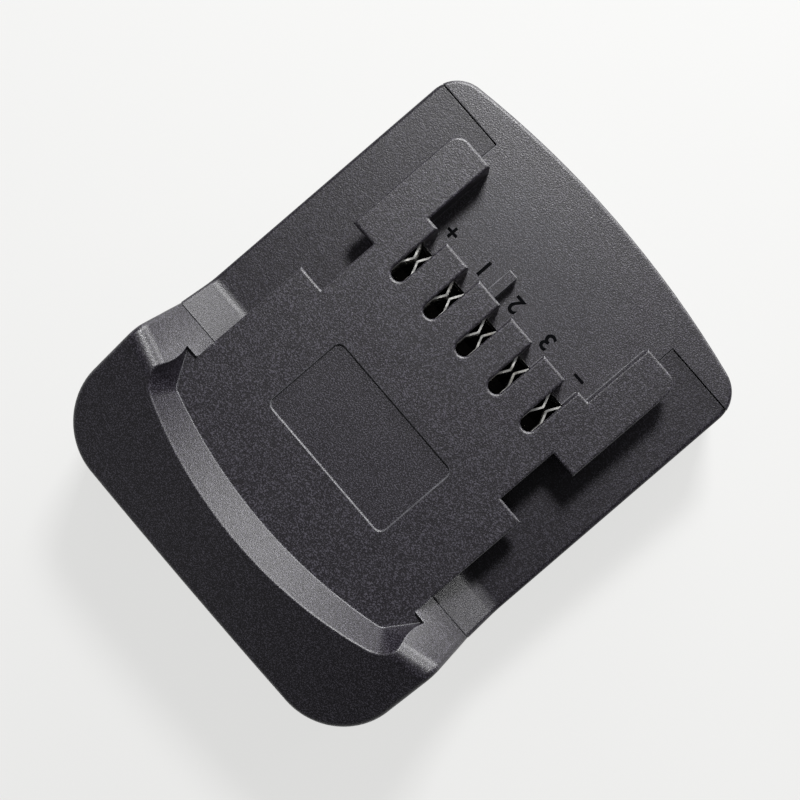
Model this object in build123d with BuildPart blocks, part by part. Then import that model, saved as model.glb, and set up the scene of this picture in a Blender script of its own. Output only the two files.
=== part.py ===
"""Slide-on battery adapter for cordless tools, in millimetres.

+Y is the end that goes into the tool first, +Z is the tool's side, and the
battery slides in from the rear, under the body. The origin is the middle of
the underside.
"""
from build123d import *
import math
import os

os.makedirs("parts", exist_ok=True)

# Body
front_block_length = 7.3
rear_block_length = 30.4
deck_width = 9.5
contact_room = 8.8
wall = 2.4
front_bow_radius = 184.0
front_corner_radius = 6.2
rear_corner_radius = 12.4
deck_step = 0.4
deck_edge_radius = 0.8
foot_edge_radius = 1.0
pad_edge_radius = 0.6
parting_rise = 0.8
seam_gap = 0.12
touch = 0.01
overrun = 5.0
slope_overrun = 3.0

# Platform with its rails, seen from the tool
platform_rise = 8.0
platform_width = 57.0
rail_reach = 5.1
rail_thickness = 3.0
rail_rear_length = 13.2
notch_length = 11.7
rail_middle_length = 9.7
rail_hook_length = 14.0
rail_hook_width = 8.0
rail_hook_setback = 4.2
hook_corner = 2.6
finger_step = 0.4
label_width = 29.3
label_length = 16.3
label_setback = 0.2
label_depth = 0.4
label_corner = 1.4
platform_edge_radius = 0.4

# Ramps of the side decks, from their toe to the rear seam
ramp_length = 6.5
ramp_rise = 4.6
ramp_toe_radius = 3.5

# Rear block
ridge_rise = 16.1
ridge_arc_radius = 113.0
ridge_setback = 13.8
roof_step_length = 1.0
rear_slope = 0.5
ridge_fillet = 3.0
pocket_setback = 3.7
pocket_side_room = 2.7
pocket_side_length = 8.8
pocket_length = 16.5
pocket_floor_side_room = 2.3
pocket_floor_side_length = 6.2
pocket_floor_taper = 1.7
pocket_floor_length = 10.0
pocket_floor_corner = 2.0
pocket_rim_corner = 5.5
pocket_rim_radius = 0.3
rear_edge_radius = 1.0

# Contact slots and their clips
slot_count = 5
slot_side_room = 4.2
slot_width = 2.9
slot_length = 10.9
chamber_width = 4.2
chamber_length = 8.1
chamber_roof = 1.2
clip_thickness = 0.4
clip_width = 3.5
clip_setback = 0.7
clip_bend_length = 2.1
clip_pinch_length = 4.4
clip_length = 6.8
clip_pinch_gap = 0.45
clip_drop = 1.4
clip_base = 0.5
clip_tail_width = 1.6
clip_tail_thickness = 0.8
clip_tail_length = 3.3
clip_tail_setback = 1.2
clip_fold_radius = 0.5
rib_width = 1.9
rib_length = 5.5
rib_height = 3.6

# Carrier of the clips and the board below it
carrier_side_gap = 0.7
carrier_rear_length = 1.2
carrier_front_gap = 0.4
carrier_height = 3.9
carrier_board_gap = 0.2
carrier_floor = 1.1
finger_root_length = 1.1
pocket_clearance = 0.2
board_side_length = 2.0
board_rear_length = 1.1
board_front_gap = 2.0
board_thickness = 1.6
board_height = 1.6
board_post_radius = 1.6
board_pin_radius = 0.8
board_post_inset = 2.4
board_post_setback = 1.5
board_hole_gap = 0.1
chip_sizes = [(5.0, 4.0, 1.5), (3.2, 1.6, 0.6), (3.2, 1.6, 0.6), (3.2, 1.6, 0.6)]
chip_places = [(-5.0, 15.5), (2.2, 14.0), (2.2, 16.4), (7.2, 14.0)]
capacitor_radius = 1.3
capacitor_height = 2.3
capacitor_place = (7.2, 17.2)

# Battery channel, open at the rear and below
channel_side = 9.0
channel_height = 10.0
lip_width = 4.5
lip_thickness = 3.0
channel_setback = 12.5
ceiling = 2.2
catch_width = 14.0
catch_setback = 2.9
catch_length = 6.0
catch_plate_width = 20.0
catch_plate_length = 5.0
catch_plate_thickness = 1.0
catch_lip = 1.9
catch_rib_width = 1.2
catch_gap = 0.1

# Blades and their block
block_length = 9.0
block_drop = 9.0
blade_screw_gap = 3.6
blade_thickness = 0.8
blade_length = 12.5
blade_height = 6.5
blade_drop = 1.5
blade_tip = 1.2
blade_seat = 5.0
block_front_gap = 0.4
block_chamfer = 1.0
tail_length = 2.0
tail_top = 3.6
tail_slot_gap = 0.3
press_gap = 0.05

# Leads from the power blades to the power clips
wire_diameter = 2.0
wire_height = 1.75
wire_end_length = 5.6
bend_share = 0.45

# Latches, pressed in at both sides of the rear block
latch_travel = 3.2
running_gap = 0.25
button_length = 12.0
button_setback = 16.9
button_height = 10.0
button_recess = 0.1
button_depth = 5.0
button_flange = 1.1
grip_count = 4
grip_width = 0.9
grip_depth = 0.5
arm_thickness = 2.4
arm_inset = 1.0
arm_width = 8.0
leg_side_gap = 2.0
leg_width = 7.0
hook_setback = 3.1
hook_length = 8.5
hook_height = 4.2
hook_lead = 4.0
latch_rail_gap = 0.4
hook_post_width = 4.0
tab_thickness = 1.6
tab_height = 5.9
spring_radius = 2.5
spring_wire = 0.6
spring_turns = 6
spring_height = 4.0
spring_end_gap = 0.1
peg_radius = 1.5
peg_length = 2.2
post_width = 2.0
post_height = 8.0
post_length = 7.0
plate_thickness = 1.6
plate_rear_setback = 7.5
plate_nose_overhang = 0.5
plate_step_setback = 2.9
plate_side_gap = 3.9
plate_nose_gap = 1.0
plate_lift = 1.2
guide_length = 7.0
guide_width = 4.0
guide_setback = 0.9
guide_inset = 1.5
fence_gap = 0.6
fence_length = 3.8
fence_thickness = 1.2
fence_height = 1.8

# Fasteners
thread_gap = 0.05
housing_screw_radius = 1.4
housing_screw_head = 2.5
housing_screw_head_height = 1.8
housing_screw_length = 17.0
housing_screw_recess = 1.2
housing_boss_radius = 3.6
front_screw_inset = 4.0
rear_screw_inset = 5.0
rear_screw_setback = 8.1
small_screw_radius = 1.0
small_screw_head = 1.9
small_screw_head_height = 1.0
small_screw_length = 7.0
small_boss_radius = 2.2
screw_end_gap = 0.4
plate_screw_inset = 3.0
plate_screw_setback = 2.4
plate_screw_rear_x = 7.0
plate_screw_rear_setback = 2.8
carrier_screw_length = 3.2
block_screw_recess = 4.5
block_boss_height = 2.8
block_screw_inset = 2.4
block_screw_setback = 2.6
cross_width = 0.6
cross_share = 0.62

# Places that follow from the sizes above: across
rail_half = platform_width / 2
half_width = rail_half + deck_width
stem_half = rail_half - rail_reach
cavity_half = stem_half - wall
bay_half = rail_half - rail_hook_width
channel_half = half_width - channel_side
lip_half = channel_half - lip_width
pocket_half_width = rail_half + pocket_side_room
pocket_floor_half = rail_half + pocket_floor_side_room
pocket_floor_side_half = rail_half - pocket_floor_taper
slot_pitch = 2 * (cavity_half - slot_side_room) / (slot_count - 1)
slot_places = [(i - (slot_count - 1) / 2) * slot_pitch for i in range(slot_count)]
carrier_half = cavity_half - carrier_side_gap
board_half = slot_pitch + board_side_length
block_half = cavity_half
block_screw_x = block_half - block_screw_inset
blade_pitch = (block_screw_x - blade_screw_gap) / 2
blade_places = [-2 * blade_pitch, -blade_pitch, 0, blade_pitch, 2 * blade_pitch]
button_face = half_width - button_recess
button_inner = button_face - button_depth
leg_outer_x = cavity_half - leg_side_gap
leg_inner_x = leg_outer_x - leg_width
plate_half = button_inner - plate_side_gap
plate_nose_half = cavity_half - plate_nose_gap
guide_inner_x = leg_inner_x + guide_inset
fence_inner_x = leg_outer_x + fence_gap
fence_outer_x = fence_inner_x + fence_length

# Along, from the rear end to the front end
rail_length = rail_rear_length + notch_length + rail_middle_length + rail_hook_length
body_length = rear_block_length + ramp_length + rail_length + rail_hook_setback + front_block_length
front_y = body_length / 2
rear_y = -front_y
rear_seam_y = rear_y + rear_block_length
ramp_toe_y = rear_seam_y + ramp_length
notch_rear_y = ramp_toe_y + rail_rear_length
notch_front_y = notch_rear_y + notch_length
finger_tip_y = notch_front_y + rail_middle_length
finger_step_y = finger_tip_y + finger_step
hook_end_y = finger_tip_y + rail_hook_length
front_seam_y = hook_end_y + rail_hook_setback
label_rear_y = rear_seam_y + label_setback
ridge_middle_y = rear_seam_y - ridge_setback
pocket_front_y = rear_seam_y - pocket_setback
pocket_side_y = pocket_front_y - pocket_side_length
pocket_wall_y = pocket_front_y - pocket_length
pocket_floor_side_y = pocket_front_y - pocket_floor_side_length
pocket_floor_wall_y = pocket_front_y - pocket_floor_length
slot_rear_y = finger_tip_y - slot_length
chamber_front_y = slot_rear_y + chamber_length
clip_rear_y = slot_rear_y + clip_setback
clip_bend_y = clip_rear_y + clip_bend_length
clip_pinch_y = clip_rear_y + clip_pinch_length
clip_flare_y = clip_rear_y + clip_length
clip_tail_y = clip_rear_y + clip_tail_setback
carrier_rear_y = slot_rear_y - carrier_rear_length
carrier_front_y = finger_tip_y - carrier_front_gap
finger_root_y = slot_rear_y - finger_root_length
channel_front_y = front_y - channel_setback
board_rear_y = slot_rear_y - board_rear_length
board_front_y = channel_front_y - board_front_gap
block_rear_y = channel_front_y - block_length
catch_rear_y = rear_seam_y - catch_setback
button_rear_y = rear_seam_y - button_setback
button_front_y = button_rear_y + button_length
arm_rear_y = button_rear_y + arm_inset
arm_front_y = arm_rear_y + arm_width
spring_y = (arm_rear_y + arm_front_y) / 2
hook_front_y = notch_rear_y - hook_setback
hook_rear_y = hook_front_y - hook_length
plate_rear_y = rear_y + plate_rear_setback
plate_step_y = rear_seam_y - plate_step_setback
plate_front_y = hook_front_y + plate_nose_overhang
guide_rear_y = rear_seam_y - guide_setback
front_screw_place = (cavity_half - front_screw_inset, front_seam_y)
rear_screw_place = (half_width - rear_screw_inset, rear_y + rear_screw_setback)
plate_screw_front_place = (plate_half - plate_screw_inset, plate_step_y - plate_screw_setback)
plate_screw_rear_place = (plate_screw_rear_x, plate_rear_y + plate_screw_rear_setback)
carrier_screw_y = clip_rear_y + carrier_screw_length
board_post_place = (board_half - board_post_inset, finger_tip_y - board_post_setback)
block_screw_place = (block_screw_x, channel_front_y - block_screw_setback)

# Upwards
channel_top = lip_thickness + channel_height
bay_floor = channel_top + ceiling
parting_height = bay_floor + parting_rise
board_bottom = bay_floor + board_height
board_top = board_bottom + board_thickness
carrier_bottom = board_top + carrier_board_gap
finger_bottom = carrier_bottom + carrier_height + pocket_clearance
clip_floor = carrier_bottom + carrier_floor
pad_height = bay_floor + contact_room
pad_underside = pad_height - wall
deck_top = pad_height - deck_step
ramp_top = deck_top + ramp_rise
platform_top = pad_height + platform_rise
rail_bottom = platform_top - rail_thickness
bay_roof = platform_top - wall
clip_top = platform_top - clip_drop
ridge_top = pad_height + ridge_rise
plate_bottom = bay_floor + plate_lift
plate_top = plate_bottom + plate_thickness
latch_bottom = plate_top + running_gap
arm_top = latch_bottom + arm_thickness
button_top = latch_bottom + button_height
hook_top = rail_bottom - latch_rail_gap
hook_bottom = hook_top - hook_height


def block(x_span, y_span, z_span, mode=Mode.ADD):
    """A box given by its two ends along each axis."""
    spans = (x_span, y_span, z_span)
    middle = [(low + high) / 2 for low, high in spans]
    sizes = [abs(high - low) for low, high in spans]
    with Locations(tuple(middle)):
        Box(*sizes, mode=mode)


def side_blocks(x_span, y_span, z_span, mode=Mode.ADD):
    """The same box on the right and, mirrored, on the left."""
    for side in (-1, 1):
        block((side * x_span[0], side * x_span[1]), y_span, z_span, mode)


def rod(place, z_span, radius, mode=Mode.ADD):
    """An upright cylinder between two heights."""
    with Locations((place[0], place[1], (z_span[0] + z_span[1]) / 2)):
        Cylinder(radius, abs(z_span[1] - z_span[0]), mode=mode)


def side_rods(place, z_span, radius, mode=Mode.ADD):
    for side in (-1, 1):
        rod((side * place[0], place[1]), z_span, radius, mode)


def screw(place, face, head_radius, head_height, radius, length):
    """A cross-head screw driven upwards, its head's face at the given height."""
    rod(place, (face, face + head_height), head_radius)
    rod(place, (face + head_height, face + head_height + length), radius)
    cross = cross_share * head_radius
    recess = (face, face + head_height * cross_share)
    x, y = place
    block((x - cross, x + cross), (y - cross_width / 2, y + cross_width / 2), recess, Mode.SUBTRACT)
    block((x - cross_width / 2, x + cross_width / 2), (y - cross, y + cross), recess, Mode.SUBTRACT)


def both_sides(*places):
    """Each place and its mirror image on the left."""
    return [(side * x, y) for x, y in places for side in (-1, 1)]


# Outline of the body, seen from above
bow_drop = front_bow_radius - math.sqrt(front_bow_radius**2 - half_width**2)
with BuildSketch() as body_plan:
    with BuildLine():
        front_edge = ThreePointArc(
            (half_width, front_y - bow_drop), (0, front_y), (-half_width, front_y - bow_drop)
        )
        Polyline(front_edge @ 1, (-half_width, rear_y), (half_width, rear_y), front_edge @ 0)
    make_face()
    fillet(body_plan.vertices().group_by(Axis.Y)[-1], front_corner_radius)
    fillet(body_plan.vertices().group_by(Axis.Y)[0], rear_corner_radius)

with BuildSketch() as inner_plan:
    offset(body_plan.sketch, amount=-wall)


def outline(points):
    """A face with straight sides, its corners where they are given."""
    Polygon(*points, align=None)


# Hollow under the side decks and their ramps
ramp_angle = math.atan2(ramp_rise, ramp_length)
inner_toe_y = ramp_toe_y - wall * math.tan(ramp_angle / 2)
inner_ramp_top = deck_top - wall + (inner_toe_y - rear_seam_y) * math.tan(ramp_angle)
with BuildPart() as deck_hollow:
    with BuildSketch(Plane.YZ):
        outline(
            [
                (rear_y, bay_floor),
                (front_y, bay_floor),
                (front_y, deck_top - wall),
                (inner_toe_y, deck_top - wall),
                (rear_seam_y, inner_ramp_top),
                (rear_y, inner_ramp_top),
            ]
        )
    extrude(amount=half_width, both=True)
    with BuildSketch():
        add(inner_plan.sketch)
    extrude(amount=platform_top, mode=Mode.INTERSECT)

# What the rear block leaves free in front: straight at the seam, bowed at the ridge
slope_rise = ridge_top + slope_overrun - ramp_top
slope_run = ridge_setback * slope_rise / (ridge_top - ramp_top)
slope_end_y = rear_seam_y - slope_run
slope_radius = ridge_arc_radius * (ridge_top - ramp_top) / slope_rise
slope_half = half_width + overrun
slope_bow = slope_radius - math.sqrt(slope_radius**2 - slope_half**2)
with BuildPart() as front_slope:
    with BuildSketch(Plane.XY.offset(ramp_top)):
        outline(
            [
                (-slope_half, rear_seam_y),
                (slope_half, rear_seam_y),
                (slope_half, 0),
                (-slope_half, 0),
            ]
        )
    with BuildSketch(Plane.XY.offset(ramp_top + slope_rise)):
        with BuildLine():
            ridge_line = ThreePointArc(
                (-slope_half, slope_end_y + slope_bow),
                (0, slope_end_y),
                (slope_half, slope_end_y + slope_bow),
            )
            Polyline(ridge_line @ 1, (slope_half, 0), (-slope_half, 0), ridge_line @ 0)
        make_face()
    loft(ruled=True)

# What it leaves free behind: a shallow cone about an upright axis
cone_y = ridge_middle_y + ridge_arc_radius
cone_end = ridge_arc_radius + 2 * half_width
with BuildPart() as rear_fall:
    with BuildSketch(Plane((0, cone_y, 0), x_dir=(0, 1, 0), z_dir=(1, 0, 0))):
        outline(
            [
                (ridge_arc_radius - overrun, ridge_top + overrun * rear_slope),
                (cone_end, ridge_top - 2 * half_width * rear_slope),
                (cone_end, ridge_top + 2 * half_width),
                (ridge_arc_radius - overrun, ridge_top + 2 * half_width),
            ]
        )
    revolve(axis=Axis((0, cone_y, 0), (0, 0, 1)))

# Crescent pocket for the round end of the tool's foot
with BuildPart() as crescent:
    with BuildSketch(Plane.XY.offset(platform_top)) as pocket_floor:
        with BuildLine():
            floor_arc = ThreePointArc(
                (-pocket_floor_side_half, pocket_floor_side_y),
                (0, pocket_floor_wall_y),
                (pocket_floor_side_half, pocket_floor_side_y),
            )
            Polyline(
                floor_arc @ 1,
                (pocket_floor_half, pocket_front_y),
                (-pocket_floor_half, pocket_front_y),
                floor_arc @ 0,
            )
        make_face()
        fillet(pocket_floor.vertices().sort_by(Axis.Y)[:2], pocket_floor_corner)
    with BuildSketch(Plane.XY.offset(ridge_top)) as pocket_rim:
        with BuildLine():
            rim_arc = ThreePointArc(
                (-pocket_half_width, pocket_side_y),
                (0, pocket_wall_y),
                (pocket_half_width, pocket_side_y),
            )
            Polyline(
                rim_arc @ 1,
                (pocket_half_width, pocket_front_y),
                (-pocket_half_width, pocket_front_y),
                rim_arc @ 0,
            )
        make_face()
        fillet(pocket_rim.vertices().sort_by(Axis.Y)[:2], pocket_rim_corner)
    loft(ruled=True)

# Lower housing: battery channel, side walls, and side decks with their ramps
stem_room = stem_half + seam_gap
side_inner = channel_half + wall
housing_screw_places = both_sides(front_screw_place, rear_screw_place)
block_screw_places = both_sides(block_screw_place)
board_post_places = both_sides(board_post_place)
tail_front_y = block_rear_y + blade_seat
tail_rear_y = tail_front_y - tail_length
blade_half = blade_thickness / 2
catch_plate_half = catch_plate_width / 2
with BuildPart() as lower_housing:
    with BuildSketch(Plane.YZ):
        outline(
            [
                (rear_y, 0),
                (front_y, 0),
                (front_y, parting_height),
                (front_seam_y, parting_height),
                (front_seam_y, deck_top),
                (ramp_toe_y, deck_top),
                (rear_seam_y, ramp_top),
                (rear_seam_y, parting_height),
                (rear_y, parting_height),
            ]
        )
    extrude(amount=half_width, both=True)
    toe_line = lower_housing.edges().filter_by(Axis.X).sort_by_distance((0, ramp_toe_y, deck_top))[0]
    fillet(toe_line, ramp_toe_radius)
    with BuildSketch():
        add(body_plan.sketch)
    extrude(amount=platform_top, mode=Mode.INTERSECT)
    fillet(lower_housing.edges().group_by(Axis.Z)[0], foot_edge_radius)
    deck_edges = lower_housing.edges().filter_by(Axis.Z, reverse=True)
    deck_edges = deck_edges.filter_by(lambda edge: edge.center().Z > deck_top - touch)
    fillet(
        deck_edges.filter_by(lambda edge: abs(edge.center().X) > half_width - deck_edge_radius),
        deck_edge_radius,
    )
    # room for the stem of the platform
    block((-stem_room, stem_room), (rear_seam_y, front_seam_y), (bay_floor, platform_top), Mode.SUBTRACT)
    add(deck_hollow.part, mode=Mode.SUBTRACT)
    # channel for the battery, with a lip along each side
    block(
        (-channel_half, channel_half),
        (rear_y - overrun, channel_front_y),
        (lip_thickness, channel_top),
        Mode.SUBTRACT,
    )
    block(
        (-lip_half, lip_half), (rear_y - overrun, channel_front_y), (-overrun, lip_thickness), Mode.SUBTRACT
    )
    # hollow side walls and front end
    with BuildSketch(Plane.XY.offset(wall)):
        add(inner_plan.sketch)
        with Locations((0, rear_y)):
            Rectangle(2 * side_inner, 2 * (front_y + channel_front_y + wall), mode=Mode.SUBTRACT)
    extrude(amount=deck_top - wall - wall, mode=Mode.SUBTRACT)
    for place in housing_screw_places:
        rod(place, (0, parting_height - seam_gap), housing_boss_radius)
        rod(place, (-overrun, parting_height), housing_screw_radius + thread_gap, Mode.SUBTRACT)
        recess = housing_screw_recess + housing_screw_head_height
        rod(place, (-overrun, recess), housing_screw_head + running_gap, Mode.SUBTRACT)
    # bosses and posts in the bay
    for place in block_screw_places:
        rod(place, (channel_top, bay_floor + block_boss_height), small_boss_radius)
        rod(place, (0, bay_floor + block_boss_height), small_screw_radius + thread_gap, Mode.SUBTRACT)
    for place in board_post_places:
        rod(place, (channel_top, board_bottom), board_post_radius)
        rod(place, (board_bottom, board_top), board_pin_radius)
    for x in blade_places:
        block(
            (x - blade_half - tail_slot_gap, x + blade_half + tail_slot_gap),
            (tail_rear_y - tail_slot_gap, tail_front_y + tail_slot_gap),
            (channel_top, bay_floor),
            Mode.SUBTRACT,
        )
    # catch for the battery's own latch, with ribs beside its strike
    block(
        (-catch_width / 2, catch_width / 2),
        (catch_rear_y, catch_rear_y + catch_length),
        (channel_top, bay_floor),
        Mode.SUBTRACT,
    )
    side_blocks(
        (catch_plate_half + catch_gap, catch_plate_half + catch_gap + catch_rib_width),
        (catch_rear_y - catch_plate_length, catch_rear_y),
        (bay_floor - seam_gap, bay_floor + catch_plate_thickness),
    )
lower_housing.part.label = "lower_housing"
export_step(lower_housing.part, "parts/lower_housing.step")

# Platform of the upper housing: stem, rails, hooks, and five slots between its fingers
front_block_y = front_seam_y + seam_gap
rear_block_y = rear_seam_y - seam_gap
stem_foot = bay_floor + seam_gap
carrier_front_gap_y = carrier_front_y + pocket_clearance
step_half = slot_places[-1] + slot_width / 2
rib_x = (slot_places[1] + slot_places[2]) / 2
carrier_screw_x = (slot_places[-2] + slot_places[-1]) / 2
carrier_screw_places = both_sides((carrier_screw_x, carrier_screw_y))
with BuildPart() as platform:
    block((-stem_half, stem_half), (rear_block_y, hook_end_y), (stem_foot, platform_top))
    block((-stem_half, stem_half), (hook_end_y, front_block_y), (stem_foot, pad_height))
    block((-rail_half, rail_half), (rear_block_y, hook_end_y), (rail_bottom, platform_top))
    upright_edges = platform.edges().filter_by(Axis.Z)
    hook_corners = [
        upright_edges.sort_by_distance((side * rail_half, hook_end_y, platform_top))[0]
        for side in (-1, 1)
    ]
    fillet(hook_corners, hook_corner)
    # notches of the rails, bay between the hooks, step at the finger tips
    side_blocks(
        (stem_half, rail_half + overrun),
        (notch_rear_y, notch_front_y),
        (rail_bottom - overrun, platform_top + overrun),
        Mode.SUBTRACT,
    )
    block(
        (-bay_half, bay_half),
        (finger_step_y, hook_end_y + overrun),
        (pad_height, platform_top + overrun),
        Mode.SUBTRACT,
    )
    block(
        (-step_half, step_half), (finger_tip_y, finger_step_y), (pad_height, platform_top), Mode.SUBTRACT
    )
    # hollows under the platform, the fingers and the pad
    block((-cavity_half, cavity_half), (rear_block_y, finger_root_y), (stem_foot, bay_roof), Mode.SUBTRACT)
    block(
        (-cavity_half, cavity_half),
        (finger_root_y, carrier_front_gap_y),
        (stem_foot, finger_bottom),
        Mode.SUBTRACT,
    )
    block(
        (-cavity_half, cavity_half),
        (carrier_front_gap_y, front_block_y),
        (stem_foot, pad_underside),
        Mode.SUBTRACT,
    )
    for x in slot_places:
        with BuildSketch(Plane.XY.offset(pad_height)):
            slot_radius = slot_width / 2
            with Locations((x, slot_rear_y + slot_radius)):
                Circle(slot_radius)
            with Locations((x, (slot_rear_y + slot_radius + finger_step_y) / 2)):
                Rectangle(slot_width, finger_step_y - slot_rear_y - slot_radius)
        extrude(amount=platform_rise, mode=Mode.SUBTRACT)
        block(
            (x - chamber_width / 2, x + chamber_width / 2),
            (slot_rear_y, chamber_front_y),
            (finger_bottom, platform_top - chamber_roof),
            Mode.SUBTRACT,
        )
    block(
        (rib_x - rib_width / 2, rib_x + rib_width / 2),
        (finger_tip_y, finger_tip_y + rib_length),
        (pad_height, pad_height + rib_height),
    )
    for place in carrier_screw_places:
        screw_tip = carrier_bottom + small_screw_head_height + small_screw_length
        pilot = (finger_bottom, screw_tip + screw_end_gap)
        rod(place, pilot, small_screw_radius + thread_gap, Mode.SUBTRACT)
    # windows for the latch hooks
    side_blocks(
        (cavity_half, stem_half),
        (hook_rear_y - running_gap, hook_front_y + running_gap),
        (hook_bottom - running_gap, hook_top + running_gap),
        Mode.SUBTRACT,
    )
    # guides that keep the latch legs down
    side_blocks(
        (guide_inner_x, guide_inner_x + guide_width),
        (guide_rear_y, guide_rear_y + guide_length),
        (arm_top + running_gap, bay_roof),
    )
    top_edges = platform.faces().sort_by(Axis.Z)[-1].outer_wire().edges()
    fillet(top_edges.filter_by(lambda edge: edge.center().Y > rear_block_y + touch), platform_edge_radius)
    # label field
    with BuildSketch(Plane.XY.offset(platform_top)):
        with Locations((0, label_rear_y + label_length / 2)):
            RectangleRounded(label_width, label_length, label_corner)
    extrude(amount=-label_depth, mode=Mode.SUBTRACT)

# Upper housing: front pad, platform, rear block
with BuildPart() as upper_housing:
    # rear block
    with BuildSketch(Plane.XY.offset(parting_height + seam_gap)):
        add(body_plan.sketch)
        with Locations((0, rear_block_y + front_y)):
            Rectangle(4 * half_width, body_length, mode=Mode.SUBTRACT)
    extrude(amount=ridge_top + slope_overrun - parting_height - seam_gap)
    add(front_slope.part, mode=Mode.SUBTRACT)
    add(rear_fall.part, mode=Mode.SUBTRACT)
    ridge = upper_housing.edges().sort_by(Axis.Z)[-1]
    fillet(ridge, ridge_fillet)
    rear_edges = upper_housing.edges().filter_by(Axis.Z, reverse=True)
    rear_edges = rear_edges.filter_by(lambda edge: edge.center().Z > bay_roof)
    rear_edges = rear_edges.filter_by(
        lambda edge: abs(edge.center().X) > pocket_half_width
        or edge.center().Y < rear_y + rear_corner_radius
    )
    fillet(rear_edges, rear_edge_radius)
    add(crescent.part, mode=Mode.SUBTRACT)
    rim_edges = upper_housing.edges(Select.LAST)
    rim_edges = rim_edges.filter_by(lambda edge: edge.center().Z > ridge_top - slope_overrun)
    rim_edges = rim_edges.filter_by(lambda edge: edge.center().Y < pocket_side_y + pocket_rim_radius)
    fillet(rim_edges, pocket_rim_radius)
    block(
        (-rail_half, rail_half),
        (pocket_front_y - seam_gap, rear_block_y + overrun),
        (platform_top, ridge_top),
        Mode.SUBTRACT,
    )
    block(
        (-rail_half, rail_half),
        (pocket_front_y - wall, rear_block_y),
        (parting_height + seam_gap, platform_top),
    )
    # its hollow, its roof lower below the foot of the slope
    with BuildSketch(Plane.XY.offset(parting_height)):
        add(inner_plan.sketch)
        with Locations((0, rear_block_y - wall + front_y)):
            Rectangle(4 * half_width, body_length, mode=Mode.SUBTRACT)
    extrude(amount=bay_roof - parting_height, mode=Mode.SUBTRACT)
    block(
        (wall - half_width, half_width - wall),
        (rear_block_y - wall - roof_step_length, rear_block_y - wall),
        (bay_roof - wall, bay_roof),
    )
    block(
        (-cavity_half, cavity_half),
        (rear_block_y - wall - overrun, rear_block_y),
        (parting_height, bay_roof),
        Mode.SUBTRACT,
    )
    # front pad
    with BuildSketch(Plane.XY.offset(parting_height + seam_gap)):
        add(body_plan.sketch)
        with Locations((0, front_block_y - front_y)):
            Rectangle(4 * half_width, body_length, mode=Mode.SUBTRACT)
    extrude(amount=pad_height - parting_height - seam_gap)
    with BuildSketch(Plane.XY.offset(parting_height)):
        add(inner_plan.sketch)
        with Locations((0, front_block_y - front_y)):
            Rectangle(4 * half_width, body_length, mode=Mode.SUBTRACT)
    extrude(amount=pad_underside - parting_height, mode=Mode.SUBTRACT)
    pad_edges = upper_housing.edges().filter_by(lambda edge: abs(edge.center().Z - pad_height) < touch)
    fillet(pad_edges.filter_by(lambda edge: edge.center().Y > front_block_y + touch), pad_edge_radius)
    add(platform.part)
    # bosses
    for place in both_sides(front_screw_place):
        rod(place, (parting_height, pad_underside), housing_boss_radius)
    for place in both_sides(rear_screw_place):
        rod(place, (parting_height + seam_gap, bay_roof), housing_boss_radius)
    housing_screw_tip = housing_screw_recess + housing_screw_head_height + housing_screw_length
    for place in housing_screw_places:
        rod(
            place,
            (parting_height, housing_screw_tip + screw_end_gap),
            housing_screw_radius + thread_gap,
            Mode.SUBTRACT,
        )
    plate_screw_places = both_sides(plate_screw_front_place, plate_screw_rear_place)
    plate_screw_tip = plate_bottom + small_screw_head_height + small_screw_length
    for place in plate_screw_places:
        rod(place, (plate_top, bay_roof), small_boss_radius)
        pilot = (plate_top, plate_screw_tip + screw_end_gap)
        rod(place, pilot, small_screw_radius + thread_gap, Mode.SUBTRACT)
    # windows for the latch buttons
    side_blocks(
        (half_width - wall, half_width),
        (button_rear_y - running_gap, button_front_y + running_gap),
        (latch_bottom - running_gap, button_top + running_gap),
        Mode.SUBTRACT,
    )
upper_housing.part.label = "upper_housing"
export_step(upper_housing.part, "parts/upper_housing.step")

# Five spring contacts: a folded strip with two leaves that pinch the tool's blade
leaf_x = (clip_width - clip_thickness) / 2
pinch_x = (clip_pinch_gap + clip_thickness) / 2
clip_names = ["clip_plus", "clip_signal_a", "clip_signal_b", "clip_signal_c", "clip_minus"]
leaf_points = [
    (leaf_x, clip_rear_y),
    (leaf_x, clip_bend_y),
    (pinch_x, clip_pinch_y),
    (leaf_x, clip_flare_y),
]
clip_half = clip_thickness / 2
for clip_name, clip_x in zip(clip_names, slot_places):
    with BuildPart() as clip:
        for side in (-1, 1):
            with BuildSketch(Plane.XY.offset(clip_floor)) as leaf:
                outer = [(clip_x + side * (x + clip_half), y) for x, y in leaf_points]
                inner = [(clip_x + side * (x - clip_half), y) for x, y in reversed(leaf_points)]
                outline(outer + inner)
                folds = leaf.vertices().group_by(Axis.Y)[1:-1]
                fillet(folds[0] + folds[1], clip_fold_radius)
            extrude(amount=clip_top - clip_floor)
        block(
            (clip_x - leaf_x, clip_x + leaf_x),
            (clip_rear_y, clip_bend_y),
            (clip_floor, clip_floor + clip_base),
        )
        block(
            (clip_x - clip_tail_width / 2, clip_x + clip_tail_width / 2),
            (clip_tail_y - clip_tail_thickness / 2, clip_tail_y + clip_tail_thickness / 2),
            (clip_floor - clip_tail_length, clip_floor),
        )
    clip.part.label = clip_name
    export_step(clip.part, f"parts/{clip_name}.step")

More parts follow.
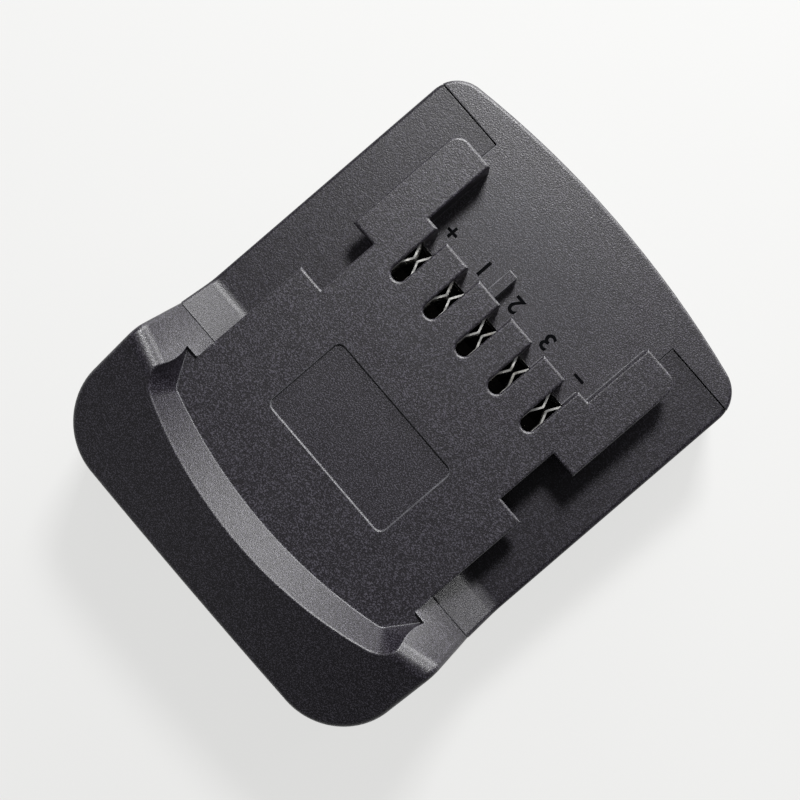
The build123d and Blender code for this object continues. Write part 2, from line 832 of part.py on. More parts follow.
# Carrier: insulator with a pocket for each clip, screwed up against the fingers
with BuildPart() as clip_carrier:
    block(
        (-carrier_half, carrier_half),
        (carrier_rear_y, carrier_front_y),
        (carrier_bottom, carrier_bottom + carrier_height),
    )
    for x in slot_places:
        pocket_half = clip_width / 2 + pocket_clearance
        block(
            (x - pocket_half, x + pocket_half),
            (clip_rear_y - pocket_clearance, clip_flare_y + pocket_clearance),
            (clip_floor, clip_top),
            Mode.SUBTRACT,
        )
        tail_half_width = clip_tail_width / 2 + press_gap
        tail_half_depth = clip_tail_thickness / 2 + press_gap
        block(
            (x - tail_half_width, x + tail_half_width),
            (clip_tail_y - tail_half_depth, clip_tail_y + tail_half_depth),
            (carrier_bottom, clip_floor),
            Mode.SUBTRACT,
        )
    for place in carrier_screw_places:
        rod(place, (carrier_bottom, clip_top), small_screw_radius + thread_gap, Mode.SUBTRACT)
        head_seat = (carrier_bottom, carrier_bottom + small_screw_head_height)
        rod(place, head_seat, small_screw_head + press_gap, Mode.SUBTRACT)
clip_carrier.part.label = "clip_carrier"
export_step(clip_carrier.part, "parts/clip_carrier.step")

# Circuit board between the signal clips and the signal blades
with BuildPart() as circuit_board:
    block((-board_half, board_half), (board_rear_y, board_front_y), (board_bottom, board_top))
    for x in slot_places[1:-1]:
        block(
            (x - clip_tail_width / 2 - board_hole_gap, x + clip_tail_width / 2 + board_hole_gap),
            (
                clip_tail_y - clip_tail_thickness / 2 - board_hole_gap,
                clip_tail_y + clip_tail_thickness / 2 + board_hole_gap,
            ),
            (board_bottom, board_top),
            Mode.SUBTRACT,
        )
    for x in blade_places[1:-1]:
        block(
            (x - blade_half - board_hole_gap, x + blade_half + board_hole_gap),
            (tail_rear_y - board_hole_gap, tail_front_y + board_hole_gap),
            (board_bottom, board_top),
            Mode.SUBTRACT,
        )
    for place in board_post_places:
        rod(place, (board_bottom, board_top), board_pin_radius + board_hole_gap, Mode.SUBTRACT)
circuit_board.part.label = "circuit_board"
export_step(circuit_board.part, "parts/circuit_board.step")

with BuildPart() as board_parts:
    for (x, chip_length), (width, length, height) in zip(chip_places, chip_sizes):
        y = board_rear_y + chip_length
        block(
            (x - width / 2, x + width / 2),
            (y - length / 2, y + length / 2),
            (board_top, board_top + height),
        )
    capacitor_x, capacitor_length = capacitor_place
    capacitor_middle = (capacitor_x, board_rear_y + capacitor_length)
    rod(capacitor_middle, (board_top, board_top + capacitor_height), capacitor_radius)
board_parts.part.label = "board_parts"
export_step(board_parts.part, "parts/board_parts.step")

# Terminal block of the battery side, hung under the channel's ceiling
block_bottom = channel_top - block_drop
blade_top = channel_top - blade_drop
blade_bottom = blade_top - blade_height
blade_rear_y = block_rear_y - blade_length
block_screw_face = block_bottom + block_screw_recess
block_front_y = channel_front_y - block_front_gap
with BuildPart() as terminal_block:
    block((-block_half, block_half), (block_rear_y, block_front_y), (block_bottom, channel_top))
    outer_edges = terminal_block.edges().filter_by(Axis.Y).group_by(Axis.Z)[0]
    chamfer(outer_edges, block_chamfer)
    for x in blade_places:
        block(
            (x - blade_half - press_gap, x + blade_half + press_gap),
            (block_rear_y, tail_front_y + press_gap),
            (blade_bottom - press_gap, blade_top + press_gap),
            Mode.SUBTRACT,
        )
        block(
            (x - blade_half - press_gap, x + blade_half + press_gap),
            (tail_rear_y - press_gap, tail_front_y + press_gap),
            (blade_top, channel_top),
            Mode.SUBTRACT,
        )
    for place in block_screw_places:
        rod(place, (block_bottom, channel_top), small_screw_radius + thread_gap, Mode.SUBTRACT)
        head_seat = (block_bottom, block_screw_face + small_screw_head_height)
        rod(place, head_seat, small_screw_head + press_gap, Mode.SUBTRACT)
terminal_block.part.label = "terminal_block"
export_step(terminal_block.part, "parts/terminal_block.step")

blade_names = ["blade_plus", "blade_signal_a", "blade_signal_b", "blade_signal_c", "blade_minus"]
for blade_name, blade_x in zip(blade_names, blade_places):
    with BuildPart() as blade:
        block(
            (blade_x - blade_half, blade_x + blade_half),
            (blade_rear_y, tail_front_y),
            (blade_bottom, blade_top),
        )
        chamfer(blade.edges().filter_by(Axis.X).group_by(Axis.Y)[0], blade_tip)
        block(
            (blade_x - blade_half, blade_x + blade_half),
            (tail_rear_y, tail_front_y),
            (blade_top, bay_floor + tail_top),
        )
    blade.part.label = blade_name
    export_step(blade.part, f"parts/{blade_name}.step")

# Leads from the power blades to the power clips, with a gentle S-bend each
wire_z = bay_floor + wire_height
for wire_name, side in (("wire_plus", -1), ("wire_minus", 1)):
    blade_end_x = side * blade_places[-1]
    clip_end_x = side * slot_places[-1]
    route = [
        Vector(blade_end_x, tail_rear_y, wire_z),
        Vector(blade_end_x, tail_rear_y - wire_end_length, wire_z),
        Vector(clip_end_x, clip_tail_y + wire_end_length, wire_z),
        Vector(clip_end_x, clip_tail_y + clip_tail_thickness / 2, wire_z),
    ]
    radii = []
    for before, corner, after in zip(route, route[1:], route[2:]):
        half_turn = math.radians((corner - before).get_angle(after - corner)) / 2
        shorter_run = min((corner - before).length, (after - corner).length)
        radii.append(bend_share * shorter_run / math.tan(half_turn))
    print(wire_name, "radii", [round(radius, 1) for radius in radii])
    with BuildPart() as wire:
        with BuildLine() as wire_line:
            FilletPolyline(*route, radius=radii)
        with BuildSketch(Plane(origin=wire_line.line @ 0, z_dir=wire_line.line % 0)):
            Circle(wire_diameter / 2)
        sweep(path=wire_line.line)
    wire.part.label = wire_name
    export_step(wire.part, f"parts/{wire_name}.step")

# Latches: button, arm, leg and hook in one moulding; the left one is its mirror image
flange_outer = half_width - wall - running_gap
grip_pitch = button_length / (grip_count + 1)
hook_tip = stem_half + latch_travel
hook_post_x = leg_outer_x - hook_post_width
spring_z = plate_top + spring_height
with BuildPart() as latch_right:
    block((button_inner, button_face), (button_rear_y, button_front_y), (latch_bottom, button_top))
    block(
        (flange_outer - button_flange, flange_outer),
        (button_rear_y - button_flange, button_front_y + button_flange),
        (latch_bottom, button_top + button_flange),
    )
    for i in range(grip_count):
        groove_y = button_rear_y + (i + 1) * grip_pitch
        block(
            (button_face - grip_depth, button_face),
            (groove_y - grip_width / 2, groove_y + grip_width / 2),
            (latch_bottom, button_top),
            Mode.SUBTRACT,
        )
    block((leg_inner_x, button_inner), (arm_rear_y, arm_front_y), (latch_bottom, arm_top))
    block((leg_inner_x, leg_outer_x), (arm_rear_y, hook_front_y), (latch_bottom, arm_top))
    block((hook_post_x, leg_outer_x), (hook_rear_y, hook_front_y), (latch_bottom, hook_top))
    with BuildSketch(Plane.XY.offset(hook_bottom)):
        outline(
            [
                (hook_post_x, hook_rear_y),
                (hook_tip, hook_rear_y),
                (hook_tip, hook_front_y - hook_lead),
                (stem_half, hook_front_y),
                (hook_post_x, hook_front_y),
            ]
        )
    extrude(amount=hook_height)
    block(
        (leg_inner_x, leg_inner_x + tab_thickness),
        (arm_rear_y, arm_front_y),
        (latch_bottom, arm_top + tab_height),
    )
    with BuildSketch(Plane((leg_inner_x, spring_y, spring_z), x_dir=(0, 1, 0), z_dir=(-1, 0, 0))):
        Circle(peg_radius)
    extrude(amount=peg_length)
latch_right.part.label = "latch_right"
export_step(latch_right.part, "parts/latch_right.step")

with BuildPart() as latch_left:
    mirror(latch_right.part, about=Plane.YZ)
latch_left.part.label = "latch_left"
export_step(latch_left.part, "parts/latch_left.step")

# Springs between the post of the plate and the latches
spring_inner_x = post_width / 2 + spring_end_gap + spring_wire / 2
spring_outer_x = leg_inner_x - spring_end_gap - spring_wire / 2
spring_span = spring_outer_x - spring_inner_x
with BuildPart() as latch_spring_right:
    with BuildLine() as coil:
        Helix(
            pitch=spring_span / spring_turns,
            height=spring_span,
            radius=spring_radius,
            center=(spring_inner_x, spring_y, spring_z),
            direction=(1, 0, 0),
        )
    with BuildSketch(Plane(origin=coil.line @ 0, z_dir=coil.line % 0)):
        Circle(spring_wire / 2)
    sweep(path=coil.line, is_frenet=True)
latch_spring_right.part.label = "latch_spring_right"
export_step(latch_spring_right.part, "parts/latch_spring_right.step")

with BuildPart() as latch_spring_left:
    mirror(latch_spring_right.part, about=Plane.YZ)
latch_spring_left.part.label = "latch_spring_left"
export_step(latch_spring_left.part, "parts/latch_spring_left.step")

# Plate that closes the latch bay and carries the springs' post
with BuildPart() as latch_plate:
    block((-plate_half, plate_half), (plate_rear_y, plate_step_y), (plate_bottom, plate_top))
    block(
        (-plate_nose_half, plate_nose_half),
        (plate_step_y, plate_front_y),
        (plate_bottom, plate_top),
    )
    block(
        (-post_width / 2, post_width / 2),
        (spring_y - post_length / 2, spring_y + post_length / 2),
        (plate_top, plate_top + post_height),
    )
    with BuildSketch(Plane((0, spring_y, spring_z), x_dir=(0, 1, 0), z_dir=(1, 0, 0))):
        Circle(peg_radius)
    extrude(amount=post_width / 2 + peg_length, both=True)
    fence_rear_y = arm_rear_y - running_gap - fence_thickness
    fence_front_y = arm_front_y + running_gap
    for fence_y in (fence_rear_y, fence_front_y):
        side_blocks(
            (fence_inner_x, fence_outer_x),
            (fence_y, fence_y + fence_thickness),
            (plate_top, plate_top + fence_height),
        )
    for place in plate_screw_places:
        rod(place, (plate_bottom, plate_top), small_screw_radius + thread_gap, Mode.SUBTRACT)
        head_seat = (plate_bottom, plate_bottom + small_screw_head_height)
        rod(place, head_seat, small_screw_head + press_gap, Mode.SUBTRACT)
latch_plate.part.label = "latch_plate"
export_step(latch_plate.part, "parts/latch_plate.step")

# Steel strike at the rear edge of the ceiling's window
with BuildPart() as catch_plate:
    block(
        (-catch_plate_half, catch_plate_half),
        (catch_rear_y - catch_plate_length, catch_rear_y + catch_plate_thickness + catch_gap),
        (bay_floor, bay_floor + catch_plate_thickness),
    )
    block(
        (-catch_width / 2 + catch_gap, catch_width / 2 - catch_gap),
        (catch_rear_y + catch_gap, catch_rear_y + catch_gap + catch_plate_thickness),
        (bay_floor - catch_lip, bay_floor),
    )
catch_plate.part.label = "catch_plate"
export_step(catch_plate.part, "parts/catch_plate.step")

# Screws, all driven from below
with BuildPart() as housing_screws:
    for place in housing_screw_places:
        screw(
            place,
            housing_screw_recess,
            housing_screw_head,
            housing_screw_head_height,
            housing_screw_radius,
            housing_screw_length,
        )
housing_screws.part.label = "housing_screws"
export_step(housing_screws.part, "parts/housing_screws.step")

small_screw_sets = {
    "latch_plate_screws": (plate_screw_places, plate_bottom),
    "carrier_screws": (carrier_screw_places, carrier_bottom),
    "terminal_block_screws": (block_screw_places, block_screw_face),
}
for set_name, (places, face) in small_screw_sets.items():
    with BuildPart() as small_screws:
        for place in places:
            screw(
                place,
                face,
                small_screw_head,
                small_screw_head_height,
                small_screw_radius,
                small_screw_length,
            )
    small_screws.part.label = set_name
    export_step(small_screws.part, f"parts/{set_name}.step")
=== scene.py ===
import math
import bpy
from mathutils import Euler, Matrix, Vector


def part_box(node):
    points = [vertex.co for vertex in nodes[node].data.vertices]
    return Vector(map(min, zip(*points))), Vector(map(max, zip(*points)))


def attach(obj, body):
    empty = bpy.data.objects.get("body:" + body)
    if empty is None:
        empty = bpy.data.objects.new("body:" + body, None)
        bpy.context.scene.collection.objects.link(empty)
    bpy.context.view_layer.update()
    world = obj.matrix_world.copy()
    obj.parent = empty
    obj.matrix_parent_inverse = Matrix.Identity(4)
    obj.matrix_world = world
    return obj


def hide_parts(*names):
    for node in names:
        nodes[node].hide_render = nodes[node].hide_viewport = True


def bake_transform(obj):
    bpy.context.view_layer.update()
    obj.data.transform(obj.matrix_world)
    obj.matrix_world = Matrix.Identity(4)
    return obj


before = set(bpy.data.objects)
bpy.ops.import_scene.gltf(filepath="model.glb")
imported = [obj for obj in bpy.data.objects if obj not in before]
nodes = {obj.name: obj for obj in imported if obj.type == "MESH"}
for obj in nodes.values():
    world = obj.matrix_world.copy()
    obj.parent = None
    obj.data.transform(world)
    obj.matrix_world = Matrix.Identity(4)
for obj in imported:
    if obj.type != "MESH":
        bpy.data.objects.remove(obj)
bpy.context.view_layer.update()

bpy.ops.object.select_all(action="DESELECT")

# Studio
# A pale sheet that looks evenly lit and is clear from below, a camera almost
# straight above the adapter, a small key lamp from the picture's top, a low
# strip that the ramps and the pocket wall reflect, and a lamp underneath.
camera_place = (0.00897, 0.00022, 0.33456)
camera_turn_degrees = (1.261, 1.248, 49.336)
camera_focus_pixels = 1787.1
picture_pixels = 800
sensor_mm = 36.0
camera_data = bpy.data.cameras.new("camera")
camera_data.sensor_width = sensor_mm
camera_data.lens = camera_focus_pixels * sensor_mm / picture_pixels
camera_near = 0.01
camera_far = 10
camera_data.clip_start = camera_near
camera_data.clip_end = camera_far
camera = bpy.data.objects.new("camera", camera_data)
camera.location = camera_place
camera.rotation_euler = Euler([math.radians(angle) for angle in camera_turn_degrees])
bpy.context.scene.collection.objects.link(camera)
bpy.context.scene.camera = camera

floor_size = 3.0
floor_drop = 0.00005
floor_colour = (0.6, 0.6, 0.595, 1)
floor_roughness = 0.9
glow_colour = (0.86, 0.86, 0.85, 1)
glow_share = 0.82
bpy.ops.mesh.primitive_plane_add(size=floor_size, location=(0, 0, -floor_drop))
floor = bpy.context.object
floor.name = "floor"
floor_material = bpy.data.materials.new("pale_sheet")
floor_material.use_nodes = True
floor_tree = floor_material.node_tree
floor_paint = floor_tree.nodes["Principled BSDF"]
floor_paint.inputs["Base Color"].default_value = floor_colour
floor_paint.inputs["Roughness"].default_value = floor_roughness
floor_glow = floor_tree.nodes.new("ShaderNodeEmission")
floor_glow.inputs["Color"].default_value = glow_colour
floor_mix = floor_tree.nodes.new("ShaderNodeMixShader")
floor_path = floor_tree.nodes.new("ShaderNodeLightPath")
floor_side = floor_tree.nodes.new("ShaderNodeNewGeometry")
floor_clear = floor_tree.nodes.new("ShaderNodeBsdfTransparent")
floor_open = floor_tree.nodes.new("ShaderNodeMixShader")


def reckon(tree, operation, *values):
    """A Math node on outputs and plain numbers."""
    node = tree.nodes.new("ShaderNodeMath")
    node.operation = operation
    for value, socket in zip(values, node.inputs):
        if isinstance(value, float):
            socket.default_value = value
        else:
            tree.links.new(value, socket)
    return node.outputs[0]


ray = floor_path.outputs
seen = reckon(floor_tree, "MAXIMUM", ray["Is Camera Ray"], ray["Is Glossy Ray"])
seen = reckon(floor_tree, "MAXIMUM", seen, ray["Is Transmission Ray"])
below = reckon(floor_tree, "MAXIMUM", floor_side.outputs["Backfacing"], ray["Is Shadow Ray"])
floor_tree.links.new(reckon(floor_tree, "MULTIPLY", seen, glow_share), floor_mix.inputs["Fac"])
floor_tree.links.new(floor_paint.outputs[0], floor_mix.inputs[1])
floor_tree.links.new(floor_glow.outputs[0], floor_mix.inputs[2])
floor_tree.links.new(below, floor_open.inputs["Fac"])
floor_tree.links.new(floor_mix.outputs[0], floor_open.inputs[1])
floor_tree.links.new(floor_clear.outputs[0], floor_open.inputs[2])
floor_tree.links.new(floor_open.outputs[0], floor_tree.nodes["Material Output"].inputs["Surface"])
floor.data.materials.append(floor_material)


def soft_lamp(name, place, aim, width, height, watts):
    """A rectangular lamp at a place, turned towards a point."""
    data = bpy.data.lights.new(name, "AREA")
    data.shape = "RECTANGLE"
    data.size = width
    data.size_y = height
    data.energy = watts
    lamp = bpy.data.objects.new(name, data)
    lamp.location = place
    lamp.rotation_euler = (Vector(aim) - Vector(place)).to_track_quat("-Z", "Y").to_euler()
    bpy.context.scene.collection.objects.link(lamp)


soft_lamp(
    "key",
    place=(-0.165, 0.27, 0.43),
    aim=(0, 0, 0.02),
    width=0.095,
    height=0.095,
    watts=4.6,
)
soft_lamp(
    "front_strip",
    place=(-0.20, 0.63, 0.15),
    aim=(0, 0, 0.03),
    width=0.85,
    height=0.22,
    watts=9.4,
)
soft_lamp(
    "rear_fill",
    place=(-0.15, -0.60, 0.30),
    aim=(0, -0.03, 0.03),
    width=0.5,
    height=0.3,
    watts=0.15,
)
soft_lamp(
    "under_lamp",
    place=(0.12, -0.30, -0.45),
    aim=(0, 0, 0.01),
    width=0.3,
    height=0.3,
    watts=3.0,
)

sky_colour = (0.96, 0.97, 1.0, 1)
sky_ambient = 0.05
sky_gains = {"Is Camera Ray": 0.8, "Is Glossy Ray": 0.08, "Is Transmission Ray": 0.8}
world = bpy.data.worlds.new("sky")
world.use_nodes = True
bpy.context.scene.world = world
sky_tree = world.node_tree
sky = sky_tree.nodes["Background"]
sky.inputs["Color"].default_value = sky_colour
sky_path = sky_tree.nodes.new("ShaderNodeLightPath")
sky_light = sky_ambient
for ray_kind, gain in sky_gains.items():
    sky_light = reckon(sky_tree, "MULTIPLY_ADD", sky_path.outputs[ray_kind], gain, sky_light)
sky_tree.links.new(sky_light, sky.inputs["Strength"])
bpy.context.scene.view_settings.view_transform = "Standard"


# Upper and lower housing
# Two shells of black nylon from spark-eroded moulds, screwed together from
# below: a fine raised grain with lighter specks, a faint mottle in gloss, and
# edges that handling has rounded and polished. The edges are also lighter in colour,
# partly from wear and partly as a painted highlight. The lower one is the duller.
def fine_noise(tree, scale, detail):
    """Noise in the object's own coordinates."""
    place = tree.nodes.new("ShaderNodeTexCoord")
    node = tree.nodes.new("ShaderNodeTexNoise")
    node.inputs["Scale"].default_value = scale
    node.inputs["Detail"].default_value = detail
    tree.links.new(place.outputs["Object"], node.inputs["Vector"])
    return node.outputs["Fac"]


def spread(tree, value, low, high, to_low=0.0, to_high=1.0):
    """Maps a value's range to another."""
    node = tree.nodes.new("ShaderNodeMapRange")
    node.inputs["From Min"].default_value = low
    node.inputs["From Max"].default_value = high
    node.inputs["To Min"].default_value = to_low
    node.inputs["To Max"].default_value = to_high
    tree.links.new(value, node.inputs["Value"])
    return node.outputs["Result"]


grain_scale = 4300
mottle_scale = 240
gloss_swing = 0.012
wear_polish = -0.08


def moulded_grain_group():
    """Colour, roughness and height of a moulded surface whose edges are lighter from wear and a
    painted highlight.
    """
    group = bpy.data.node_groups.new("moulded_grain", "ShaderNodeTree")
    face = group.interface
    for name in ("Dark", "Light", "Worn_And_Highlit"):
        face.new_socket(name, in_out="INPUT", socket_type="NodeSocketColor")
    for name in ("Edge", "Gloss"):
        face.new_socket(name, in_out="INPUT", socket_type="NodeSocketFloat")
    face.new_socket("Color", in_out="OUTPUT", socket_type="NodeSocketColor")
    face.new_socket("Roughness", in_out="OUTPUT", socket_type="NodeSocketFloat")
    face.new_socket("Height", in_out="OUTPUT", socket_type="NodeSocketFloat")
    enter = group.nodes.new("NodeGroupInput")
    leave = group.nodes.new("NodeGroupOutput")
    link = group.links.new

    def blend(share, first, second):
        node = group.nodes.new("ShaderNodeMix")
        node.data_type = "RGBA"
        link(share, node.inputs["Factor"])
        link(first, node.inputs["A"])
        link(second, node.inputs["B"])
        return node.outputs["Result"]

    grain = fine_noise(group, grain_scale, detail=1)
    mottle = fine_noise(group, mottle_scale, detail=3)
    specks = spread(group, grain, low=0.5, high=0.66)
    tone = blend(specks, enter.outputs["Dark"], enter.outputs["Light"])
    patches = spread(group, mottle, low=0.3, high=0.6, to_low=0.5)
    wear = reckon(group, "MULTIPLY", enter.outputs["Edge"], patches)
    swing = spread(group, mottle, low=0.3, high=0.7, to_low=-gloss_swing, to_high=gloss_swing)
    matt = reckon(group, "ADD", swing, enter.outputs["Gloss"])
    link(blend(wear, tone, enter.outputs["Worn_And_Highlit"]), leave.inputs["Color"])
    link(reckon(group, "MULTIPLY_ADD", wear, wear_polish, matt), leave.inputs["Roughness"])
    link(grain, leave.inputs["Height"])
    return group


moulded_grain = moulded_grain_group()
edge_radius = 0.0003
edge_samples = 6
grain_strength = 0.8
grain_depth = 0.00005


def moulded_plastic(name, dark, light, worn, gloss, sheen=0.5):
    """Grained plastic whose edges are rounded, a little worn and lighter from a painted
    highlight.
    """
    material = bpy.data.materials.new(name)
    material.use_nodes = True
    tree = material.node_tree
    shader = tree.nodes["Principled BSDF"]
    grain = tree.nodes.new("ShaderNodeGroup")
    grain.node_tree = moulded_grain
    grain.inputs["Dark"].default_value = dark
    grain.inputs["Light"].default_value = light
    grain.inputs["Worn_And_Highlit"].default_value = worn
    grain.inputs["Gloss"].default_value = gloss
    shader.inputs["Specular IOR Level"].default_value = sheen
    rounded = tree.nodes.new("ShaderNodeBevel")
    rounded.samples = edge_samples
    rounded.inputs["Radius"].default_value = edge_radius
    true_face = tree.nodes.new("ShaderNodeNewGeometry")
    facing = tree.nodes.new("ShaderNodeVectorMath")
    facing.operation = "DOT_PRODUCT"
    tree.links.new(rounded.outputs["Normal"], facing.inputs[0])
    tree.links.new(true_face.outputs["Normal"], facing.inputs[1])
    edge = spread(tree, facing.outputs["Value"], low=0.998, high=0.9)
    tree.links.new(edge, grain.inputs["Edge"])
    bump = tree.nodes.new("ShaderNodeBump")
    bump.inputs["Strength"].default_value = grain_strength
    bump.inputs["Distance"].default_value = grain_depth
    tree.links.new(grain.outputs["Height"], bump.inputs["Height"])
    tree.links.new(rounded.outputs["Normal"], bump.inputs["Normal"])
    tree.links.new(grain.outputs["Color"], shader.inputs["Base Color"])
    tree.links.new(grain.outputs["Roughness"], shader.inputs["Roughness"])
    tree.links.new(bump.outputs["Normal"], shader.inputs["Normal"])
    return material


def dress(material, *names):
    """Puts a material on every slot of the named CAD nodes."""
    for name in names:
        for slot in nodes[name].material_slots:
            slot.material = material
        if not nodes[name].material_slots:
            nodes[name].data.materials.append(material)


# The worn colour lightens every edge: partly wear, partly a painted highlight.
upper_plastic = moulded_plastic(
    "upper_plastic",
    dark=(0.003, 0.002, 0.004, 1),
    light=(0.041, 0.038, 0.049, 1),
    worn=(0.12, 0.12, 0.13, 1),
    gloss=0.39,
)
dress(upper_plastic, "upper_housing")
lower_plastic = moulded_plastic(
    "lower_plastic",
    dark=(0.003, 0.002, 0.004, 1),
    light=(0.026, 0.024, 0.032, 1),
    worn=(0.09, 0.09, 0.095, 1),
    gloss=0.41,
    sheen=0.38,
)
dress(lower_plastic, "lower_housing")

# Contact marks
# Plus, minus and plain numbers on the pad in front of the slots, read from the open side
# of the contacts. They are thin flat glyphs in a painted shadow colour, which stands for
# the shade that engraved cuts would hold.
# Painted shadow: the glyphs' near-black colour stands for shade inside engraved cuts.
cut_shadow_colour = (0.0025, 0.0025, 0.003, 1)
cut_roughness = 0.8
mark_shadow_paint = bpy.data.materials.new("mark_shadow")
mark_shadow_paint.use_nodes = True
mark_shader = mark_shadow_paint.node_tree.nodes["Principled BSDF"]
mark_shader.inputs["Base Color"].default_value = cut_shadow_colour
mark_shader.inputs["Roughness"].default_value = cut_roughness
mark_shader.inputs["Specular IOR Level"].default_value = 0
mark_height = 0.0032
cap_share = 0.72
mark_weight = 0.00009
mark_lift = 0.00002
mark_depth = 0.00008
pad_top = 0.024
mark_y = 0.0257


def flat_mark(name, text, place, turn_degrees, material):
    """A thin flat glyph as mesh, its place kept in the mesh."""
    curve = bpy.data.curves.new(name, "FONT")
    curve.body = text
    curve.align_x = "CENTER"
    curve.align_y = "CENTER"
    curve.size = mark_height / cap_share
    curve.extrude = mark_depth / 2
    curve.offset = mark_weight
    holder = bpy.data.objects.new(name, curve)
    bpy.context.scene.collection.objects.link(holder)
    bpy.ops.object.select_all(action="DESELECT")
    holder.select_set(True)
    bpy.context.view_layer.objects.active = holder
    bpy.ops.object.convert(target="MESH")
    mark = bpy.context.object
    turn = Euler([math.radians(angle) for angle in turn_degrees]).to_matrix().to_4x4()
    mark.data.transform(turn)
    mark.data.transform(Matrix.Translation(Vector(place)))
    mark.data.materials.append(material)
    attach(mark, "root")


mark_texts = ["+", "1", "2", "3", "−"]
contact_names = ["plus", "signal_a", "signal_b", "signal_c", "minus"]
clip_names = ["clip_" + name for name in contact_names]
for clip_name, mark_text in zip(clip_names, mark_texts):
    clip_low, clip_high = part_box(clip_name)
    middle_x = (clip_low.x + clip_high.x) / 2
    flat_mark(
        "mark_" + clip_name,
        mark_text,
        (middle_x, mark_y, pad_top + mark_lift - mark_depth / 2),
        (0, 0, 180),
        mark_shadow_paint,
    )

# Latches
# Button, leg and hook moulded in one piece of black acetal, smoother than the
# housing; the ribbed faces stand in the windows at the sides.
latch_plastic = moulded_plastic(
    "latch_plastic",
    dark=(0.006, 0.006, 0.007, 1),
    light=(0.02, 0.02, 0.022, 1),
    worn=(0.05, 0.05, 0.053, 1),
    gloss=0.36,
)
dress(latch_plastic, "latch_left", "latch_right")

# Carrier, terminal block and latch plate
# Insulators of black glass-filled nylon, matt from the fibres at the surface
# and screwed to the housing. The block carries a raised plus and minus.
insulator_plastic = moulded_plastic(
    "insulator_plastic",
    dark=(0.002, 0.002, 0.002, 1),
    light=(0.008, 0.008, 0.009, 1),
    worn=(0.02, 0.02, 0.021, 1),
    gloss=0.6,
    sheen=0.15,
)
dress(insulator_plastic, "clip_carrier", "terminal_block", "latch_plate")
block_low, block_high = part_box("terminal_block")
raised_share = 0.9
raised = mark_depth * raised_share
for blade_name, mark_text in (("blade_plus", "+"), ("blade_minus", "−")):
    blade_low, blade_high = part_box(blade_name)
    side = math.copysign(1, blade_low.x)
    outer_x = max(abs(blade_low.x), abs(blade_high.x))
    mark_x = side * (outer_x + block_high.x) / 2
    mark_z = (block_low.z + block_high.z) / 2
    flat_mark(
        "mark_" + blade_name,
        mark_text,
        (mark_x, block_low.y - raised + mark_depth / 2, mark_z),
        (90, 0, 0),
        insulator_plastic,
    )


# Contact clips and blades
# Folded strips of tin-plated spring bronze in the slots, and stamped blades
# of nickel-plated brass below: bright, with fine rolling marks and light wear.
# The clips are darker towards their feet: a painted shade for the depth of the slots.
rolling_scale = 900
wear_scale = 500
rolling_strength = 0.25
rolling_depth = 0.00002


def rolled_metal(name, colour, worn, roughness, stretch=(1, 1, 1)):
    """Plated metal with fine marks along one axis."""
    material = bpy.data.materials.new(name)
    material.use_nodes = True
    tree = material.node_tree
    shader = tree.nodes["Principled BSDF"]
    shader.inputs["Metallic"].default_value = 1.0
    place = tree.nodes.new("ShaderNodeTexCoord")
    scale = tree.nodes.new("ShaderNodeMapping")
    scale.inputs["Scale"].default_value = stretch
    marks = tree.nodes.new("ShaderNodeTexNoise")
    marks.inputs["Scale"].default_value = rolling_scale
    marks.inputs["Detail"].default_value = 4
    tree.links.new(place.outputs["Object"], scale.inputs["Vector"])
    tree.links.new(scale.outputs["Vector"], marks.inputs["Vector"])
    tone = tree.nodes.new("ShaderNodeMix")
    tone.data_type = "RGBA"
    tone.inputs["A"].default_value = colour
    tone.inputs["B"].default_value = worn
    wear = spread(tree, fine_noise(tree, wear_scale, detail=3), low=0.5, high=0.75)
    tree.links.new(wear, tone.inputs["Factor"])
    tree.links.new(tone.outputs["Result"], shader.inputs["Base Color"])
    smoothest = roughness - 0.06
    roughest = roughness + 0.1
    streaks = spread(tree, marks.outputs["Fac"], 0.3, 0.7, smoothest, roughest)
    tree.links.new(streaks, shader.inputs["Roughness"])
    bump = tree.nodes.new("ShaderNodeBump")
    bump.inputs["Strength"].default_value = rolling_strength
    bump.inputs["Distance"].default_value = rolling_depth
    tree.links.new(marks.outputs["Fac"], bump.inputs["Height"])
    tree.links.new(bump.outputs["Normal"], shader.inputs["Normal"])
    return material


clip_metal = rolled_metal(
    "clip_metal",
    colour=(0.86, 0.85, 0.82, 1),
    worn=(0.62, 0.58, 0.5, 1),
    roughness=0.24,
    stretch=(1, 1, 8),
)
# Painted shade: below these heights the clip colour goes dark, standing for the shadow deep in
# the slots.
painted_shade_colour = (0.012, 0.011, 0.01, 1)
painted_shade_low = 0.021
painted_shade_high = 0.0265
clip_tree = clip_metal.node_tree
clip_shader = clip_tree.nodes["Principled BSDF"]
clip_place = clip_tree.nodes.new("ShaderNodeTexCoord")
clip_height = clip_tree.nodes.new("ShaderNodeSeparateXYZ")
clip_tree.links.new(clip_place.outputs["Object"], clip_height.inputs["Vector"])
clip_tone = clip_tree.nodes.new("ShaderNodeMix")
clip_tone.data_type = "RGBA"
unshaded_share = spread(clip_tree, clip_height.outputs["Z"], painted_shade_low, painted_shade_high)
clip_tree.links.new(unshaded_share, clip_tone.inputs["Factor"])
clip_tone.inputs["A"].default_value = painted_shade_colour
bright_tone = clip_shader.inputs["Base Color"].links[0].from_socket
clip_tree.links.new(bright_tone, clip_tone.inputs["B"])
clip_tree.links.new(clip_tone.outputs["Result"], clip_shader.inputs["Base Color"])
dress(clip_metal, *clip_names)
blade_metal = rolled_metal(
    "blade_metal",
    colour=(0.75, 0.72, 0.66, 1),
    worn=(0.6, 0.52, 0.38, 1),
    roughness=0.22,
    stretch=(1, 0.1, 1),
)
dress(blade_metal, *["blade_" + name for name in contact_names])
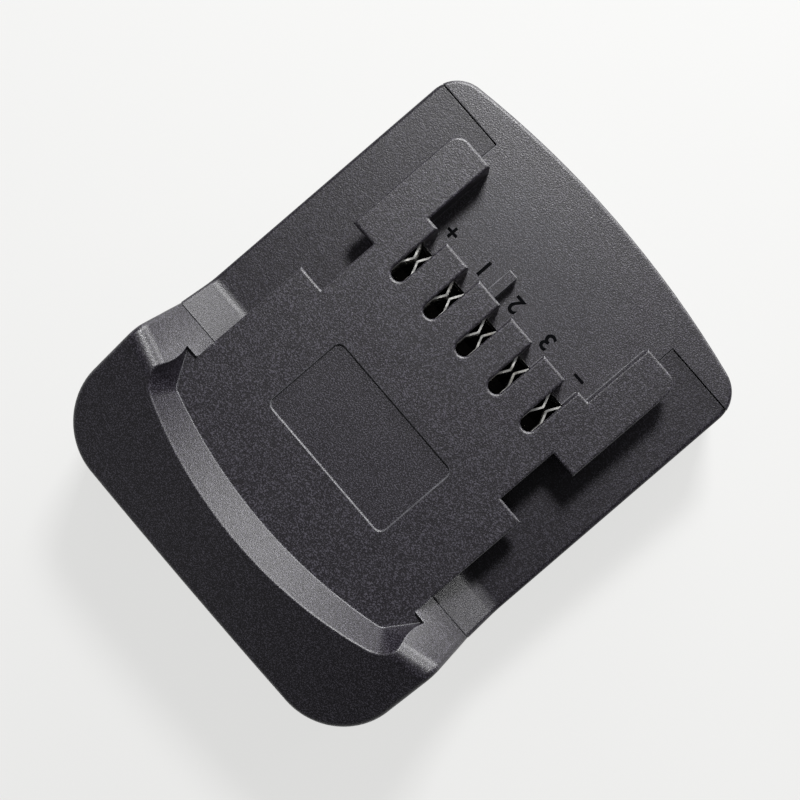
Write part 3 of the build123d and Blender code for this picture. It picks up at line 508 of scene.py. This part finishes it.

# Springs, strike and screws
# Zinc-plated spring wire and strip, and screws of black-plated steel with bare
# patches from the driver. Each latch spring stands between the plate and its latch.
spring_metal = rolled_metal(
    "spring_metal", colour=(0.6, 0.6, 0.61, 1), worn=(0.45, 0.45, 0.44, 1), roughness=0.3
)
dress(spring_metal, "catch_plate")
weld_distance = 1e-7
smooth_degrees = 40
for side in ("left", "right"):
    spring_name = "latch_spring_" + side
    coil = bpy.data.objects.new("coil_" + side, nodes[spring_name].data.copy())
    bpy.context.scene.collection.objects.link(coil)
    bpy.ops.object.select_all(action="DESELECT")
    coil.select_set(True)
    bpy.context.view_layer.objects.active = coil
    bpy.ops.object.mode_set(mode="EDIT")
    bpy.ops.mesh.select_all(action="SELECT")
    bpy.ops.mesh.remove_doubles(threshold=weld_distance)
    bpy.ops.object.mode_set(mode="OBJECT")
    bpy.ops.object.shade_smooth_by_angle(angle=math.radians(smooth_degrees))
    coil.data.materials.clear()
    coil.data.materials.append(spring_metal)
    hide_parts(spring_name)
    spring_low, spring_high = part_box(spring_name)
    inner_x, outer_x = sorted((spring_low.x, spring_high.x), key=abs)
    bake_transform(coil)
screw_metal = rolled_metal(
    "screw_metal", colour=(0.055, 0.055, 0.06, 1), worn=(0.2, 0.2, 0.2, 1), roughness=0.34
)
screw_holders = ["housing", "latch_plate", "carrier", "terminal_block"]
dress(screw_metal, *[holder + "_screws" for holder in screw_holders])


# Circuit board with its parts
# Glass-fibre board under green solder mask, lighter in patches where copper
# lies below, with moulded component bodies soldered on.
patch_strength = 0.3
patch_depth = 0.00003


def plain_finish(name, colour, other, scale, roughness):
    """Two close tones in fine patches."""
    material = bpy.data.materials.new(name)
    material.use_nodes = True
    tree = material.node_tree
    shader = tree.nodes["Principled BSDF"]
    tone = tree.nodes.new("ShaderNodeMix")
    tone.data_type = "RGBA"
    tone.inputs["A"].default_value = colour
    tone.inputs["B"].default_value = other
    patches = fine_noise(tree, scale, detail=2)
    tree.links.new(spread(tree, patches, low=0.4, high=0.65), tone.inputs["Factor"])
    tree.links.new(tone.outputs["Result"], shader.inputs["Base Color"])
    shader.inputs["Roughness"].default_value = roughness
    bump = tree.nodes.new("ShaderNodeBump")
    bump.inputs["Strength"].default_value = patch_strength
    bump.inputs["Distance"].default_value = patch_depth
    tree.links.new(patches, bump.inputs["Height"])
    tree.links.new(bump.outputs["Normal"], shader.inputs["Normal"])
    return material


solder_mask = plain_finish(
    "solder_mask",
    colour=(0.01, 0.09, 0.035, 1),
    other=(0.02, 0.14, 0.055, 1),
    scale=350,
    roughness=0.35,
)
dress(solder_mask, "circuit_board")
component_body = plain_finish(
    "component_body",
    colour=(0.012, 0.012, 0.013, 1),
    other=(0.03, 0.03, 0.032, 1),
    scale=2500,
    roughness=0.5,
)
dress(component_body, "board_parts")

# Leads
# Stranded copper in silicone sleeves, soldered between the power blades and
# the power clips: red on the plus side and black on the minus side.
sleeve_scale = 1200
sleeve_roughness = 0.55
red_silicone = plain_finish(
    "red_silicone",
    colour=(0.42, 0.02, 0.015, 1),
    other=(0.5, 0.035, 0.025, 1),
    scale=sleeve_scale,
    roughness=sleeve_roughness,
)
dress(red_silicone, "wire_plus")
black_silicone = plain_finish(
    "black_silicone",
    colour=(0.008, 0.008, 0.009, 1),
    other=(0.02, 0.02, 0.021, 1),
    scale=sleeve_scale,
    roughness=sleeve_roughness,
)
dress(black_silicone, "wire_minus")
